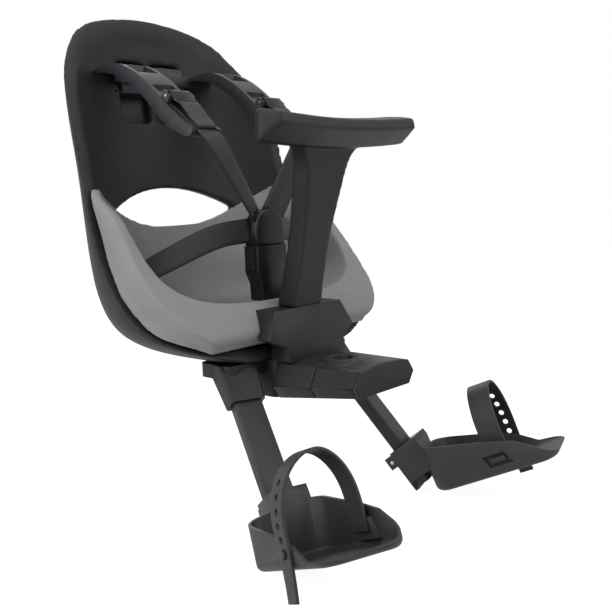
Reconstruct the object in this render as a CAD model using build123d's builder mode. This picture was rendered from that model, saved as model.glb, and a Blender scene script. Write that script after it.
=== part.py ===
"""A front-mounted child's bike seat that clamps on the handlebar stem.

Millimetres. The origin is on the axis of the stem bore, half way up it. +Z is up, the child faces -Y
and +X is the child's left. Left-hand pieces are modelled and the right-hand ones are their mirror images.
"""
import os
from math import cos, pi, radians, sin, tan

from build123d import *

# Clearances between pieces
SEAT_GAP = 0.4
FIT_GAP = 0.05
SLIDE_GAP = 0.4

# Stem clamp: a block of two halves round a reducer for a 22.2 mm quill stem
STEM_DIAMETER = 22.2
REDUCER_DIAMETER = 46.0
REDUCER_LENGTH = 28.0
SPLIT_GAP = 1.0
BLOCK_FRONT = -50.0
BLOCK_REAR = 48.0
BLOCK_CROWN = 3.5
FRONT_SECTION = ((38.0, 11.0), (47.0, -2.0), (39.0, -14.0))
REAR_SECTION = ((42.0, 10.0), (51.0, -13.0), (42.0, -26.0))
CAP_THICKNESS = 4.0
FLAP_WIDTH = 62.0
FLAP_LENGTH = 22.0
FLAP_THICKNESS = 2.0
BOLT_SPREAD = 31.0
BOLT_HEIGHT = -3.0
BOLT_DIAMETER = 6.0
BOLT_HEAD_DIAMETER = 10.0
BOLT_HEAD_LENGTH = 6.0
BOLT_LENGTH = 70.0
NUT_WIDTH = 10.0
NUT_THICKNESS = 5.0

# Bucket shell: level sections (height, half width, front, widest place, back) and the side view of its rim
PLAN_POWER = 2.5
PLAN_POINTS = 20
SHELL_WALL = 13.0
SHELL_STATIONS = (
    (12, 76, 36, 112, 184),
    (17, 98, 28, 112, 197),
    (27, 127, 20, 114, 210),
    (44, 153, 15, 118, 224),
    (70, 165, 15, 126, 238),
    (110, 166, 20, 140, 251),
    (160, 162, 32, 152, 264),
    (215, 158, 45, 165, 276),
    (268, 158, 60, 174, 285),
    (310, 156, 75, 181, 291),
    (340, 152, 90, 187, 295),
    (360, 138, 105, 193, 297),
    (372, 108, 125, 203, 296),
    (379, 72, 150, 215, 292),
)
RIM_PROFILE = (
    (57, 2), (58, 14), (65, 24), (91, 39), (124, 64), (158, 104), (194, 165),
    (213, 222), (224, 268), (246, 311), (271, 346), (287, 376), (292, 394),
)
LENS_HALF_WIDTH = 92.0
LENS_TOP = 187.0
LENS_BOTTOM = 140.0
LENS_TIP_HEIGHT = 160.0

# Seat pad: the same kind of sections for its hollow, and the side view of its edge
PAD_STATIONS = (
    (8, 70, 30, 110, 180),
    (24, 128, 12, 108, 205),
    (50, 158, 0, 106, 222),
    (80, 167, -10, 106, 234),
    (115, 166, -10, 110, 244),
    (150, 160, 0, 130, 254),
    (205, 148, 20, 150, 266),
)
HOLLOW_STATIONS = (
    (59, 72, 112, 150, 190),
    (63, 96, 94, 150, 200),
    (70, 115, 66, 140, 209),
    (82, 132, 30, 130, 218),
    (100, 144, 0, 120, 227),
    (125, 147, -10, 118, 237),
    (160, 143, 0, 135, 248),
    (212, 134, 20, 150, 256),
)
PAD_PROFILE = (
    (80, 16), (64, 24), (55, 34), (60, 48), (90, 84), (121, 123), (156, 163), (188, 184),
    (207, 190), (226, 180), (239, 160), (247.5, 140), (261, 108),
)

# Front column and grab handle
COLUMN_FOOT = 12.0
COLUMN_TOP = 63.0
COLUMN_FRONT = 30.0
COLUMN_LEAN = 14.0
COLUMN_FOOT_HALF = 43.0
COLUMN_WAIST_HEIGHT = 27.0
COLUMN_WIDE_HALF = 64.0
COLUMN_WIDE_HEIGHT = 36.0
COLUMN_TOP_HALF = 51.0
POST_LEAN = 13.5
POST_DEPTH = 21.0
POST_FOOT_HALF = 23.6
POST_WAIST_HALF = 21.0
POST_NECK_HALF = 28.0
POST_WAIST_LENGTH = 66.0
POST_NECK_LENGTH = 127.0
POST_CROOK_HALF = 33.0
POST_CROOK_LENGTH = 150.0
POST_LENGTH = 166.0
POST_FLARE_HALF = 47.0
BAR_HALF_LENGTH = 108.0
BAR_END = ((100, -26), (108, -2), (90, 21))
BAR_RISE = 5.0
BAR_SECTION = ((-2, 220), (-25, 236), (-21, 246), (10, 250), (20, 243), (17, 221))
SPIGOT_HALF_WIDTH = 17.0
SPIGOT_DEPTH = 7.0
SPIGOT_LENGTH = 24.0
HANDLE_BOLT_SEAT = 20.0
HANDLE_BOLT_LENGTH = 38.0

# Seat carrier with the leg sockets
CARRIER_TOP = 12.0
CARRIER_BOTTOM = -26.0
CARRIER_HALF = 44.0
CARRIER_BACK = 112.0
WING_HALF = 92.0
WING_FRONT = 66.0
WING_THICKNESS = 14.0
SHELL_SCREW_X = 30.0
SHELL_SCREW_ROWS = (84.0, 104.0)
SCREW_DIAMETER = 5.0
SCREW_HEAD_DIAMETER = 9.0
SCREW_HEAD_LENGTH = 4.0
SHELL_SCREW_SEAT = -6.0
SHELL_SCREW_LENGTH = 28.0
COLUMN_SCREW_X = 30.0
COLUMN_SCREW_Y = 54.3
COLUMN_SCREW_SEAT = -4.0
COLUMN_SCREW_LENGTH = 32.0
CARRIER_CORNER = 9.0
ANCHOR_LENGTH = 34.0
ANCHOR_WIDTH = 9.0
ANCHOR_POCKET = 8.0

# Legs and footrests, left side
TOE_OUT = 18.0
LEG_LEAN = 39.0
LEG_MOUTH = (80.0, 57.6, -25.6)
TUBE_WIDTH = 30.0
TUBE_DEPTH = 14.0
TUBE_WALL = 2.0
TUBE_CORNER = 3.0
TUBE_INSERT = 38.0
TUBE_REACH = 142.0
SOCKET_WIDTH = 37.0
SOCKET_DEPTH = 21.0
SOCKET_FLARE = 8.0
SOCKET_LENGTH = 62.0
PLUG_LENGTH = 6.0

# Foot tray, in its own frame: x outwards, y towards the heel, z up from the sole
TRAY_CENTRE = (146.0, -102.0, -118.0)
TRAY_PITCH = 23.0
TRAY_WIDTH = 80.0
TRAY_TOE = -66.0
TRAY_HEEL = 73.0
TRAY_WALL = 2.8
TRAY_CORNER = 20.0
TRAY_INNER_EDGE = ((76, 54), (-3, 38), (-29, 31), (-46, 20), (-70, 3))
TRAY_OUTER_EDGE = ((76, 44), (17, 30), (-15, 19), (-34, 6), (-70, 3))
TRAY_SOLE_RADIUS = 7.0
SLEEVE_TOP = 98.0
SLEEVE_LENGTH = 38.0
SLEEVE_WALL = 3.4
SLEEVE_REACH = 24.0
LEVER_PIN_DIAMETER = 4.0
LEVER_WIDTH = 19.0
LEVER_THICKNESS = 5.0
LEVER_LENGTH = 40.0
LEVER_EYE = 10.0
EAR_THICKNESS = 5.0

# Foot strap
STRAP_THICKNESS = 2.4
STRAP_WIDTH = 24.0
STRAP_TIP_WIDTH = 15.0
STRAP_RISE = 92.0
STRAP_PLACE = -7.0
STRAP_TAIL = -24.0
STRAP_HOLES = 6
STRAP_HOLE_PITCH = 11.0
STRAP_HOLE_DIAMETER = 5.6
ANCHOR_BOSS = ((-26, 8), (4, 8), (12, 26), (-18, 26))
ANCHOR_RECESS = ((-22, 10.5), (3, 10.5), (8.5, 23.5), (-16, 23.5))
ANCHOR_BOSS_DEPTH = 5.0
ANCHOR_HEIGHT = 17.0
ANCHOR_TAB_WIDTH = 12.0
ANCHOR_TAB_THICKNESS = 2.6
PEG_HEIGHT = 14.0
PEG_DIAMETER = 5.0
PEG_HEAD_DIAMETER = 8.0

# Harness
WEB_WIDTH = 25.0
WEB_THICKNESS = 1.6
BAND_STEPS = 10
SHOULDER_RUN = (10.0, 84.0)
SHOULDER_BEND = (62.0, 101.0, 229.0)
BACK_LEAN = 8.6
WINDOW_INNER = 3.5
WINDOW_OUTER = 46.0
WINDOW_BOTTOM = -48.0
WINDOW_TOP = 20.0
BACK_HEIGHT = 310.0
GUIDE_INNER = 48.0
GUIDE_OUTER = 86.0
GUIDE_TOP = (
    (275, 315), (255, 318), (239, 319.5), (219, 317), (203, 310.5), (175, 292.5), (143, 266), (128, 255),
    (110, 244),
)
GUIDE_UNDER = (
    (110, 244), (113, 238), (130, 240), (159, 257.5), (191, 286.5), (212, 299.5), (233, 308), (275, 311),
)
GUIDE_GAP = 2.0
GUIDE_POCKET = (197.0, 220.0, 303.0)
NECK_HEIGHT = 32.0
NECK_SIDE_GAP = 0.6
SLIDER_GAP = 1.2
SLIDER_THICKNESS = 5.0
SLIDER_HALF = 58.0
SLIDER_HEIGHT = 104.0
SLIDER_SCREW_X = 25.0
SLIDER_SCREW_Y = 9.0
SLIDER_SCREW_LENGTH = 18.0
BACK_SCREW_PLACE = (52.0, -14.0)
BACK_SCREW_RECESS = 5.0
POCKET_WIDTH = 27.0
CHANNEL_START = (175.0, 292.5)
CHANNEL_SLOPE = 36.2
CHANNEL_DEPTH = 4.0
ADJUSTER_PIN_DIAMETER = 3.0
ADJUSTER_RADIUS = 5.5
ADJUSTER_BACK = 28.0
ADJUSTER_LIP = 14.0
CHEEK_THICKNESS = 3.5
BUCKLE_PLACE = 101.0
BUCKLE_HALF = 22.0
BUCKLE_DEPTH = 20.0
TONGUE_TOP = 161.0
BUCKLE_SEAM = 124.0
TONGUE_SHOULDER = 150.0
HOUSING_FOOT = 96.0
STALK_TOP = 84.0
STALK_HALF = 15.0
STALK_BOTTOM = 66.0
CROTCH_TOP = 80.0
ANCHOR_THICKNESS = 3.5
BUTTON_HEIGHT = 24.0
BUTTON_MIDDLE = 110.0
BUTTON_DEPTH = 10.0
BUTTON_REACH = 7.0
BUTTON_PROUD = 1.2
BUTTON_TRAVEL = 3.0
HIP_POINTS = ((22.5, 101, 137.2), (60, 121, 127), (98, 152, 106), (132, 179, 90))
HIP_ALONG = ((1, 0, 0), (0.8, 0.55, -0.3))
HIP_ACROSS = ((0, 0, 1), (0.25, 0.2, 1))

os.makedirs("parts", exist_ok=True)


def save(piece, label):
    """Labels a finished piece and writes it as its own file."""
    piece.label = label
    export_step(piece, f"parts/{label}.step")


def save_pair(left, name):
    """Writes a left-hand piece and its mirror image."""
    with BuildPart() as right:
        mirror(left, about=Plane.YZ)
    save(right.part, f"{name}_right")
    save(left, f"{name}_left")


def plan_points(half_width, front, middle, back):
    """Points round a level section: a rounded oblong, widest at middle."""
    points = []
    for step in range(PLAN_POINTS):
        angle = 2 * pi * (step + 0.5) / PLAN_POINTS
        across = abs(cos(angle)) ** (2 / PLAN_POWER)
        along = abs(sin(angle)) ** (2 / PLAN_POWER)
        reach = back - middle if sin(angle) > 0 else front - middle
        points.append((half_width * across * (1 if cos(angle) > 0 else -1), middle + reach * along))
    return points


def bowl(stations):
    """A smooth closed body through a stack of level sections."""
    with BuildPart() as body:
        for height, half_width, front, middle, back in stations:
            with BuildSketch(Plane.XY.offset(height)):
                with BuildLine():
                    Spline(*plan_points(half_width, front, middle, back), periodic=True)
                make_face()
        loft()
    return body.part


def inset(stations, wall):
    """The stations of a body that lies a wall's thickness inside another."""
    low, high = stations[0][0], stations[-1][0]
    rows = []
    for height, half_width, front, middle, back in stations:
        lift = wall * (low + high - 2 * height) / (high - low)
        rows.append((height + lift, half_width - wall, front + wall, middle, back - wall))
    return rows


def side_region(profile, corners):
    """A wide body whose side view is bounded by a smooth profile and straight lines through corners."""
    with BuildPart() as region:
        with BuildSketch(Plane.YZ):
            with BuildLine():
                edge = Spline(*profile)
                Polyline(edge @ 1, *corners, edge @ 0)
            make_face()
        extrude(amount=SIDE_REACH, both=True)
    return region.part


SIDE_REACH = 1.4 * max(row[1] for row in SHELL_STATIONS)
shell_low = SHELL_STATIONS[0][0]


def back_at(height):
    """How far back the shell's hollow reaches on the centre line."""
    rows = inset(SHELL_STATIONS, SHELL_WALL)
    for low, high in zip(rows, rows[1:]):
        if low[0] <= height <= high[0]:
            return low[4] + (high[4] - low[4]) * (height - low[0]) / (high[0] - low[0])
    return rows[-1][4]


back_plane = Plane(
    origin=(0, back_at(BACK_HEIGHT), BACK_HEIGHT), x_dir=(1, 0, 0),
    z_dir=(0, -cos(radians(BACK_LEAN)), sin(radians(BACK_LEAN))),
)


def run_places(points, along_ends, across_ends):
    """Places along a smooth run of webbing: a point, the way it runs and the way its width lies."""
    run = Spline(*points, tangents=along_ends)
    places = []
    for step in range(BAND_STEPS + 1):
        share = step / BAND_STEPS
        along = run % share
        lie = Vector(*across_ends[0]) * (1 - share) + Vector(*across_ends[1]) * share
        places.append((run @ share, along, lie - along * lie.dot(along)))
    return places


def band(places, thickness, width):
    """A strap of webbing lofted through places."""
    with BuildPart() as strap:
        for point, along, across in places:
            with BuildSketch(Plane(origin=point, x_dir=across, z_dir=along)):
                Rectangle(width, thickness)
        loft(ruled=True)
    return strap.part


back_screw_places = [BACK_SCREW_PLACE, (-BACK_SCREW_PLACE[0], BACK_SCREW_PLACE[1])]
back_screw_seat = -1.5
hip_places = run_places(HIP_POINTS, HIP_ALONG, HIP_ACROSS)
lens_tips = [(-LENS_HALF_WIDTH, LENS_TIP_HEIGHT), (LENS_HALF_WIDTH, LENS_TIP_HEIGHT)]

# Seat shell: a bucket cut to its rim, with a lens opening and two windows for the harness
front_of_rim = side_region(RIM_PROFILE, ((-80, RIM_PROFILE[-1][1]), (-80, RIM_PROFILE[0][1])))
with BuildPart() as seat_shell:
    add(bowl(SHELL_STATIONS))
    add(bowl(inset(SHELL_STATIONS, SHELL_WALL)), mode=Mode.SUBTRACT)
    add(front_of_rim, mode=Mode.SUBTRACT)
    with BuildSketch(Plane.XZ.offset(-back_at(LENS_TOP) + 60)):
        with BuildLine():
            for middle_height in (LENS_TOP, LENS_BOTTOM):
                ThreePointArc(lens_tips[0], (0, middle_height), lens_tips[1])
        make_face()
    extrude(amount=-120, mode=Mode.SUBTRACT)
    with BuildSketch(back_plane):
        for side in (1, -1):
            with Locations((side * (WINDOW_INNER + WINDOW_OUTER) / 2, (WINDOW_BOTTOM + WINDOW_TOP) / 2)):
                RectangleRounded(WINDOW_OUTER - WINDOW_INNER, WINDOW_TOP - WINDOW_BOTTOM, 5)
    extrude(amount=4 * SHELL_WALL, both=True, mode=Mode.SUBTRACT)
    with Locations((0, BUCKLE_PLACE, shell_low + SHELL_WALL)):
        Box(WEB_WIDTH + 2, WEB_THICKNESS + 2, 4 * SHELL_WALL, mode=Mode.SUBTRACT)
    for row in SHELL_SCREW_ROWS:
        with Locations((SHELL_SCREW_X, row, shell_low), (-SHELL_SCREW_X, row, shell_low)):
            Cylinder(SCREW_DIAMETER / 2 + FIT_GAP, 3 * SHELL_WALL, mode=Mode.SUBTRACT)
    with BuildSketch(back_plane):
        with Locations(*back_screw_places):
            Circle(SCREW_DIAMETER / 2 + FIT_GAP)
    extrude(amount=-2 * SHELL_WALL, mode=Mode.SUBTRACT)
    with BuildSketch(back_plane.offset(back_screw_seat)):
        with Locations(*back_screw_places):
            Circle(SCREW_HEAD_DIAMETER / 2 + SLIDE_GAP)
    extrude(amount=2 * SHELL_WALL, mode=Mode.SUBTRACT)
save(seat_shell.part, "seat_shell")

# Back screws: two socket screws in recesses of the backrest
with BuildPart() as back_screws:
    with BuildSketch(back_plane.offset(back_screw_seat)):
        with Locations(*back_screw_places):
            Circle(SCREW_DIAMETER / 2)
    extrude(amount=-SHELL_WALL + BACK_SCREW_RECESS)
    with BuildSketch(back_plane.offset(back_screw_seat)):
        with Locations(*back_screw_places):
            Circle(SCREW_HEAD_DIAMETER / 2)
            RegularPolygon(SCREW_DIAMETER / 2, 6, mode=Mode.SUBTRACT)
    extrude(amount=SCREW_HEAD_LENGTH - 0.5)
    with BuildSketch(back_plane.offset(back_screw_seat)):
        with Locations(*back_screw_places):
            Circle(SCREW_HEAD_DIAMETER / 2)
    extrude(amount=1.5)
save(back_screws.part, "back_screws")

# Seat pad: foam that lines the bucket and stands in front of its rim
behind_rim = side_region(
    [(y - 0.7 * SEAT_GAP, z + 0.7 * SEAT_GAP) for y, z in RIM_PROFILE],
    ((360, RIM_PROFILE[-1][1]), (360, -20), (RIM_PROFILE[0][0], -20)),
)
above_pad = side_region(
    PAD_PROFILE,
    ((300, PAD_PROFILE[-1][1]), (300, 400), (-80, 400), (-80, 0), (PAD_PROFILE[0][0], 0)),
)
with BuildPart() as shell_region:
    add(behind_rim)
    add(bowl(inset(SHELL_STATIONS, SHELL_WALL + SEAT_GAP)), mode=Mode.SUBTRACT)
with BuildPart() as seat_pad:
    add(bowl(PAD_STATIONS))
    add(bowl(HOLLOW_STATIONS), mode=Mode.SUBTRACT)
    add(above_pad, mode=Mode.SUBTRACT)
    add(shell_region.part, mode=Mode.SUBTRACT)
    hip_slot = band(hip_places[-4::3], WEB_THICKNESS + 4 * SEAT_GAP, WEB_WIDTH + 2 * SEAT_GAP)
    add(hip_slot, mode=Mode.SUBTRACT)
    mirror(hip_slot, about=Plane.YZ, mode=Mode.SUBTRACT)
    with Locations((0, BUCKLE_PLACE, shell_low + SHELL_WALL)):
        Box(WEB_WIDTH + 2, WEB_THICKNESS + 2, 6 * SHELL_WALL, mode=Mode.SUBTRACT)
save(seat_pad.part, "seat_pad")


def block_body(rear, front):
    """The clamp block between two places along Y: a hexagon with a crowned top that tapers to the front."""
    with BuildPart() as body:
        for place in (rear, front):
            share = (BLOCK_REAR - place) / (BLOCK_REAR - BLOCK_FRONT)
            left = [
                (rear_x + (front_x - rear_x) * share, rear_z + (front_z - rear_z) * share)
                for (rear_x, rear_z), (front_x, front_z) in zip(REAR_SECTION, FRONT_SECTION)
            ]
            right = [(-x, z) for x, z in reversed(left)]
            with BuildSketch(Plane.XZ.offset(-place)):
                with BuildLine():
                    Polyline(*left, *right)
                    ThreePointArc(right[-1], (0, left[0][1] + BLOCK_CROWN), left[0])
                make_face()
        loft(ruled=True)
    return body.part


carrier_front = BLOCK_REAR + SEAT_GAP
bolt_places = [(BOLT_SPREAD, BOLT_HEIGHT), (-BOLT_SPREAD, BOLT_HEIGHT)]
bolt_seat = BLOCK_FRONT + BOLT_HEAD_LENGTH + 2
nut_seat = bolt_seat + BOLT_LENGTH - NUT_THICKNESS - 1
flap_floor = FRONT_SECTION[0][1] - FLAP_THICKNESS / 4

# Stem clamp, rear half: carries the seat, with pockets for the nuts
with BuildPart() as clamp_rear:
    add(block_body(BLOCK_REAR, SPLIT_GAP / 2))
    Cylinder(REDUCER_DIAMETER / 2, 4 * REDUCER_LENGTH, mode=Mode.SUBTRACT)
    with BuildSketch(Plane.XZ):
        with Locations(*bolt_places):
            Circle(BOLT_DIAMETER / 2 + SLIDE_GAP)
    extrude(amount=-2 * BLOCK_REAR, mode=Mode.SUBTRACT)
    with BuildSketch(Plane.XZ.offset(-nut_seat)):
        with Locations(*bolt_places):
            RegularPolygon(NUT_WIDTH / 2 + FIT_GAP, 6, major_radius=False)
    extrude(amount=-BLOCK_REAR, mode=Mode.SUBTRACT)
save(clamp_rear.part, "clamp_rear")

# Stem clamp, front half: counterbored for the bolt heads, with a recess for the cap's flap
with BuildPart() as clamp_front:
    add(block_body(-SPLIT_GAP / 2, BLOCK_FRONT))
    Cylinder(REDUCER_DIAMETER / 2, 4 * REDUCER_LENGTH, mode=Mode.SUBTRACT)
    with BuildSketch(Plane.XZ):
        with Locations(*bolt_places):
            Circle(BOLT_DIAMETER / 2 + SLIDE_GAP)
    extrude(amount=-2 * BLOCK_FRONT, mode=Mode.SUBTRACT)
    with BuildSketch(Plane.XZ.offset(-bolt_seat)):
        with Locations(*bolt_places):
            Circle(BOLT_HEAD_DIAMETER / 2 + SLIDE_GAP)
    extrude(amount=BLOCK_REAR, mode=Mode.SUBTRACT)
    with Locations((0, BLOCK_FRONT, flap_floor)):
        Box(
            FLAP_WIDTH + 2 * SEAT_GAP, 2 * (FLAP_LENGTH + SEAT_GAP), REDUCER_LENGTH,
            align=(Align.CENTER, Align.CENTER, Align.MIN), mode=Mode.SUBTRACT,
        )
save(clamp_front.part, "clamp_front")

# Clamp cap: hides the bolt heads and hooks over the top of the block
with BuildPart() as cap_flap:
    add(block_body(BLOCK_FRONT + FLAP_LENGTH, BLOCK_FRONT))
    with Locations((0, BLOCK_FRONT, flap_floor + SEAT_GAP / 2)):
        Box(
            FLAP_WIDTH, 4 * FLAP_LENGTH, REDUCER_LENGTH,
            align=(Align.CENTER, Align.CENTER, Align.MIN), mode=Mode.INTERSECT,
        )
with BuildPart() as clamp_cap:
    add(block_body(BLOCK_FRONT, BLOCK_FRONT - CAP_THICKNESS))
    add(cap_flap.part)
save(clamp_cap.part, "clamp_cap")

# Reducer: two half rings that take the bore down to the stem
for label, side in (("reducer_rear", 1), ("reducer_front", -1)):
    with BuildPart() as reducer:
        Cylinder(REDUCER_DIAMETER / 2, REDUCER_LENGTH)
        Cylinder(STEM_DIAMETER / 2, 2 * REDUCER_LENGTH, mode=Mode.SUBTRACT)
        with Locations((0, -side * (REDUCER_DIAMETER - SPLIT_GAP / 2), 0)):
            Box(3 * REDUCER_DIAMETER, 2 * REDUCER_DIAMETER, 2 * REDUCER_LENGTH, mode=Mode.SUBTRACT)
    save(reducer.part, label)

# Clamp bolts and nuts, two of each
with BuildPart() as clamp_bolts:
    with BuildSketch(Plane.XZ.offset(-bolt_seat)):
        with Locations(*bolt_places):
            Circle(BOLT_DIAMETER / 2)
    extrude(amount=-BOLT_LENGTH)
    with BuildSketch(Plane.XZ.offset(-bolt_seat)):
        with Locations(*bolt_places):
            Circle(BOLT_HEAD_DIAMETER / 2)
    extrude(amount=BOLT_HEAD_LENGTH)
    with BuildSketch(Plane.XZ.offset(-bolt_seat + BOLT_HEAD_LENGTH)):
        with Locations(*bolt_places):
            RegularPolygon(BOLT_DIAMETER / 2, 6)
    extrude(amount=-BOLT_HEAD_LENGTH / 2, mode=Mode.SUBTRACT)
save(clamp_bolts.part, "clamp_bolts")
with BuildPart() as clamp_nuts:
    with BuildSketch(Plane.XZ.offset(-nut_seat)):
        with Locations(*bolt_places):
            RegularPolygon(NUT_WIDTH / 2, 6, major_radius=False)
            Circle(BOLT_DIAMETER / 2 + FIT_GAP, mode=Mode.SUBTRACT)
    extrude(amount=-NUT_THICKNESS)
save(clamp_nuts.part, "clamp_nuts")

# Front column: a shield-shaped housing that stands on the clamp and holds the grab handle
column_top_front = COLUMN_FRONT + (COLUMN_TOP - COLUMN_FOOT) * tan(radians(COLUMN_LEAN))
rim_front = RIM_PROFILE[0][0] - SEAT_GAP
pad_nose, pad_nose_height = PAD_PROFILE[2]
spigot_place = column_top_front + 2 + SPIGOT_DEPTH / 2
column_screw_places = [(COLUMN_SCREW_X, COLUMN_SCREW_Y), (-COLUMN_SCREW_X, COLUMN_SCREW_Y)]
with BuildPart() as front_column:
    with BuildSketch(Plane.YZ):
        with BuildLine():
            Polyline(
                (COLUMN_FRONT, COLUMN_FOOT), (column_top_front, COLUMN_TOP),
                (pad_nose + 14, COLUMN_TOP), (pad_nose - 1.5, pad_nose_height + 10),
                (pad_nose - 1.5, pad_nose_height - 6), (rim_front, pad_nose_height - 13),
                (rim_front, COLUMN_FOOT), close=True,
            )
        make_face()
    extrude(amount=2 * COLUMN_WIDE_HALF, both=True)
    with BuildSketch(Plane.XZ):
        with BuildLine():
            left = [
                (COLUMN_FOOT_HALF, COLUMN_FOOT), (COLUMN_FOOT_HALF, COLUMN_WAIST_HEIGHT),
                (COLUMN_WIDE_HALF, COLUMN_WIDE_HEIGHT), (COLUMN_TOP_HALF, COLUMN_TOP),
            ]
            Polyline(*left, *[(-x, z) for x, z in reversed(left)], close=True)
        make_face()
    extrude(amount=200, both=True, mode=Mode.INTERSECT)
    add(block_body(BLOCK_REAR, 0), mode=Mode.SUBTRACT)
    with Locations((0, spigot_place, COLUMN_TOP)):
        Box(
            2 * (SPIGOT_HALF_WIDTH + FIT_GAP), SPIGOT_DEPTH + 2 * FIT_GAP, 2 * (SPIGOT_LENGTH + FIT_GAP),
            mode=Mode.SUBTRACT,
        )
    with BuildSketch(Plane.XY):
        with Locations((0, spigot_place)):
            Circle(BOLT_DIAMETER / 2 + SLIDE_GAP)
    extrude(amount=COLUMN_TOP - SPIGOT_LENGTH, mode=Mode.SUBTRACT)
    with BuildSketch(Plane.XY):
        with Locations((0, spigot_place)):
            Circle(BOLT_HEAD_DIAMETER / 2 + SLIDE_GAP)
    extrude(amount=HANDLE_BOLT_SEAT, mode=Mode.SUBTRACT)
    with BuildSketch(Plane.XY):
        with Locations(*column_screw_places):
            Circle(SCREW_DIAMETER / 2 + FIT_GAP)
    extrude(amount=COLUMN_SCREW_SEAT + COLUMN_SCREW_LENGTH + 1, mode=Mode.SUBTRACT)
save(front_column.part, "front_column")

# Grab handle: a flared post that leans to the front under a cross bar
handle_plane = Plane(
    origin=(0, column_top_front + 1.5, COLUMN_TOP), x_dir=(1, 0, 0),
    z_dir=(0, -cos(radians(POST_LEAN)), -sin(radians(POST_LEAN))),
)
post_edge = [
    (POST_FOOT_HALF, -POST_DEPTH), (POST_FOOT_HALF - 0.4, 0), (POST_WAIST_HALF, POST_WAIST_LENGTH),
    (POST_NECK_HALF, POST_NECK_LENGTH), (POST_CROOK_HALF, POST_CROOK_LENGTH), (POST_FLARE_HALF, POST_LENGTH),
]
with BuildPart() as cross_bar:
    for share in (-1, -0.5, 0, 0.5, 1):
        with BuildSketch(Plane.YZ.offset(share * BAR_HALF_LENGTH)):
            with BuildLine():
                Polyline(*[(y, z + BAR_RISE * share * share) for y, z in BAR_SECTION], close=True)
            make_face()
    loft()
    with BuildSketch(Plane.XY):
        with BuildLine():
            Polyline(*BAR_END, *[(-x, y) for x, y in reversed(BAR_END)], close=True)
        make_face()
    extrude(amount=2 * BAR_SECTION[3][1], mode=Mode.INTERSECT)
with BuildPart() as grab_handle:
    with BuildSketch(handle_plane):
        with BuildLine():
            left_edge = Spline(*post_edge)
            right_edge = Spline(*[(-x, y) for x, y in post_edge])
            Line(left_edge @ 0, right_edge @ 0)
            Line(left_edge @ 1, right_edge @ 1)
        make_face()
    extrude(amount=-POST_DEPTH)
    with Locations((0, 0, COLUMN_TOP)):
        Box(400, 400, 100, align=(Align.CENTER, Align.CENTER, Align.MAX), mode=Mode.SUBTRACT)
    add(cross_bar.part)
    with Locations((0, spigot_place, COLUMN_TOP)):
        Box(2 * SPIGOT_HALF_WIDTH, SPIGOT_DEPTH, 2 * SPIGOT_LENGTH)
    with BuildSketch(Plane.XY):
        with Locations((0, spigot_place)):
            Circle(BOLT_DIAMETER / 2 + FIT_GAP)
    extrude(amount=HANDLE_BOLT_SEAT + HANDLE_BOLT_LENGTH + 1, mode=Mode.SUBTRACT)
save(grab_handle.part, "grab_handle")

# Handle bolt: up through the column into the spigot
with BuildPart() as handle_bolt:
    with BuildSketch(Plane.XY.offset(HANDLE_BOLT_SEAT)):
        with Locations((0, spigot_place)):
            Circle(BOLT_DIAMETER / 2)
    extrude(amount=HANDLE_BOLT_LENGTH)
    with BuildSketch(Plane.XY.offset(HANDLE_BOLT_SEAT)):
        with Locations((0, spigot_place)):
            Circle(BOLT_HEAD_DIAMETER / 2)
    extrude(amount=-BOLT_HEAD_LENGTH + 1)
save(handle_bolt.part, "handle_bolt")

# Seat carrier: joins the clamp, the column and the shell, with a socket for each leg
leg_down = (
    sin(radians(TOE_OUT)) * sin(radians(LEG_LEAN)),
    -cos(radians(TOE_OUT)) * sin(radians(LEG_LEAN)),
    -cos(radians(LEG_LEAN)),
)
outwards = (cos(radians(TOE_OUT)), sin(radians(TOE_OUT)), 0)
leg_plane = Plane(origin=LEG_MOUTH, x_dir=outwards, z_dir=leg_down)
shell_screw_places = [(side * SHELL_SCREW_X, row) for side in (1, -1) for row in SHELL_SCREW_ROWS]
with BuildPart() as leg_socket:
    for back, growth in ((0, 0), (SOCKET_LENGTH, SOCKET_FLARE)):
        with BuildSketch(leg_plane.offset(-back)):
            RectangleRounded(SOCKET_WIDTH + growth, SOCKET_DEPTH + growth, 4)
    loft(ruled=True)
with BuildPart() as leg_hole:
    with BuildSketch(leg_plane.offset(1)):
        RectangleRounded(TUBE_WIDTH + 2 * FIT_GAP, TUBE_DEPTH + 2 * FIT_GAP, TUBE_CORNER)
    extrude(amount=-2 * SOCKET_LENGTH)
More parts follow.
